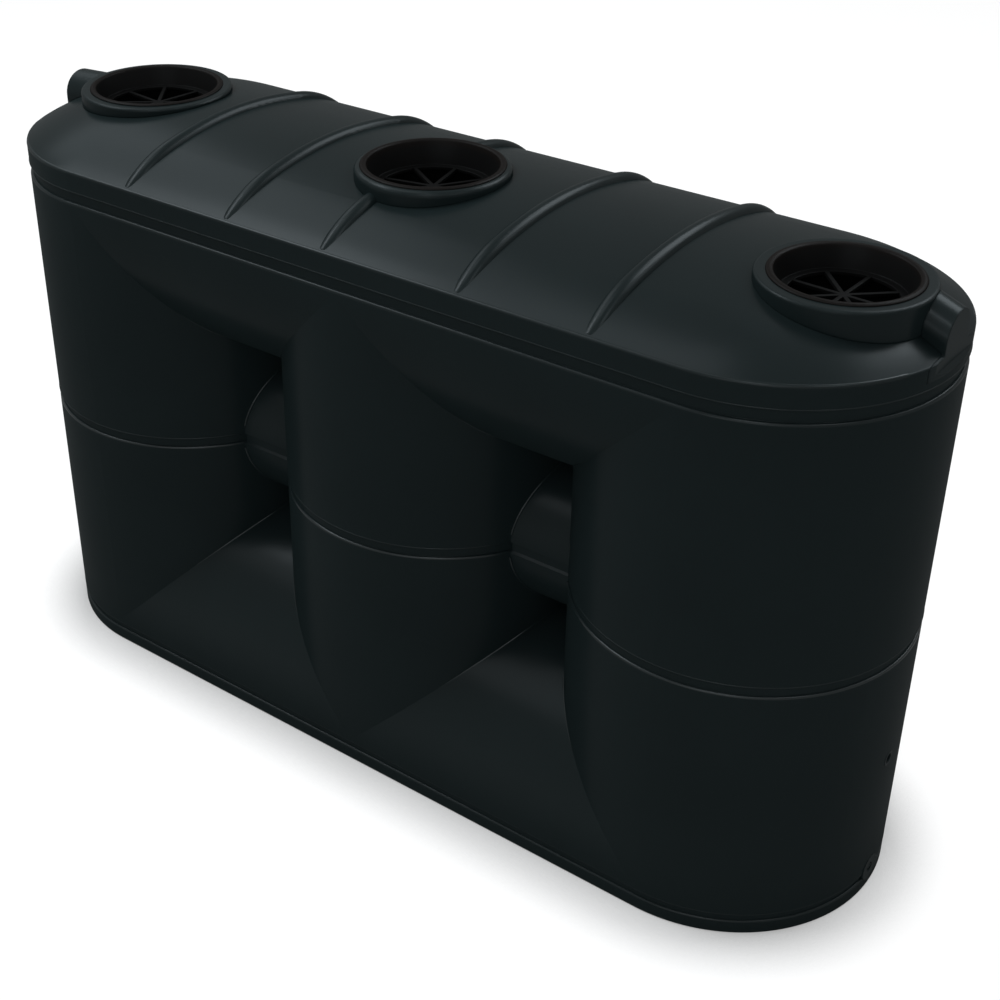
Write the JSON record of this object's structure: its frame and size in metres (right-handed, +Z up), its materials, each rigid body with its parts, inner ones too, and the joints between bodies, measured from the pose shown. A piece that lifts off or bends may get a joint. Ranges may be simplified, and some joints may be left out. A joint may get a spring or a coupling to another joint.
{
  "type": "slimline water tank",
  "caption": "Slimline rainwater tank: upright columns joined by arched bays and round ties under a ribbed domed roof, with strainer collars, overflow boxes and end outlets",
  "frame": {"origin": "centre of the footprint, on the floor", "axes": "X along the long side toward the outlet end, Y toward the back, Z up"},
  "size_m": [3.1546, 1, 1.912],
  "materials": {
    "tank_plastic": "satin moulded polyethylene",
    "strainer_plastic": "satin",
    "strainer_mesh": "fine black mesh"
  },
  "bodies": {
    "root": {"base_back": "tank_plastic", "base_floor": "tank_plastic", "base_front": "tank_plastic", "base_left_end": "tank_plastic", "base_right_end_back": "tank_plastic", "base_right_end_front": "tank_plastic", "left_collar": "tank_plastic", "left_column_lower": "tank_plastic", "left_column_upper": "tank_plastic", "left_end_lower": "tank_plastic", "left_end_upper": "tank_plastic", "left_lower_arch": "tank_plastic", "left_overflow_box": "tank_plastic", "left_strainer": "strainer_plastic", "left_strainer_screen": "strainer_mesh", "left_tie": "tank_plastic", "left_upper_arch": "tank_plastic", "lower_outlet": "tank_plastic", "middle_collar": "tank_plastic", "middle_column_lower": "tank_plastic", "middle_column_upper": "tank_plastic", "middle_strainer": "strainer_plastic", "middle_strainer_screen": "strainer_mesh", "outlet_panel": "tank_plastic", "right_collar": "tank_plastic", "right_column_lower": "tank_plastic", "right_column_upper": "tank_plastic", "right_end_lower_back": "tank_plastic", "right_end_lower_front": "tank_plastic", "right_end_upper": "tank_plastic", "right_lower_arch": "tank_plastic", "right_overflow_box": "tank_plastic", "right_strainer": "strainer_plastic", "right_strainer_screen": "strainer_mesh", "right_tie": "tank_plastic", "right_upper_arch": "tank_plastic", "roof": "tank_plastic", "roof_rib_1": "tank_plastic", "roof_rib_2": "tank_plastic", "roof_rib_3_back": "tank_plastic", "roof_rib_3_front": "tank_plastic", "roof_rib_4": "tank_plastic", "roof_rib_5": "tank_plastic", "shoulder_band": "tank_plastic", "upper_outlet": "tank_plastic"}
  },
  "joints": []
}
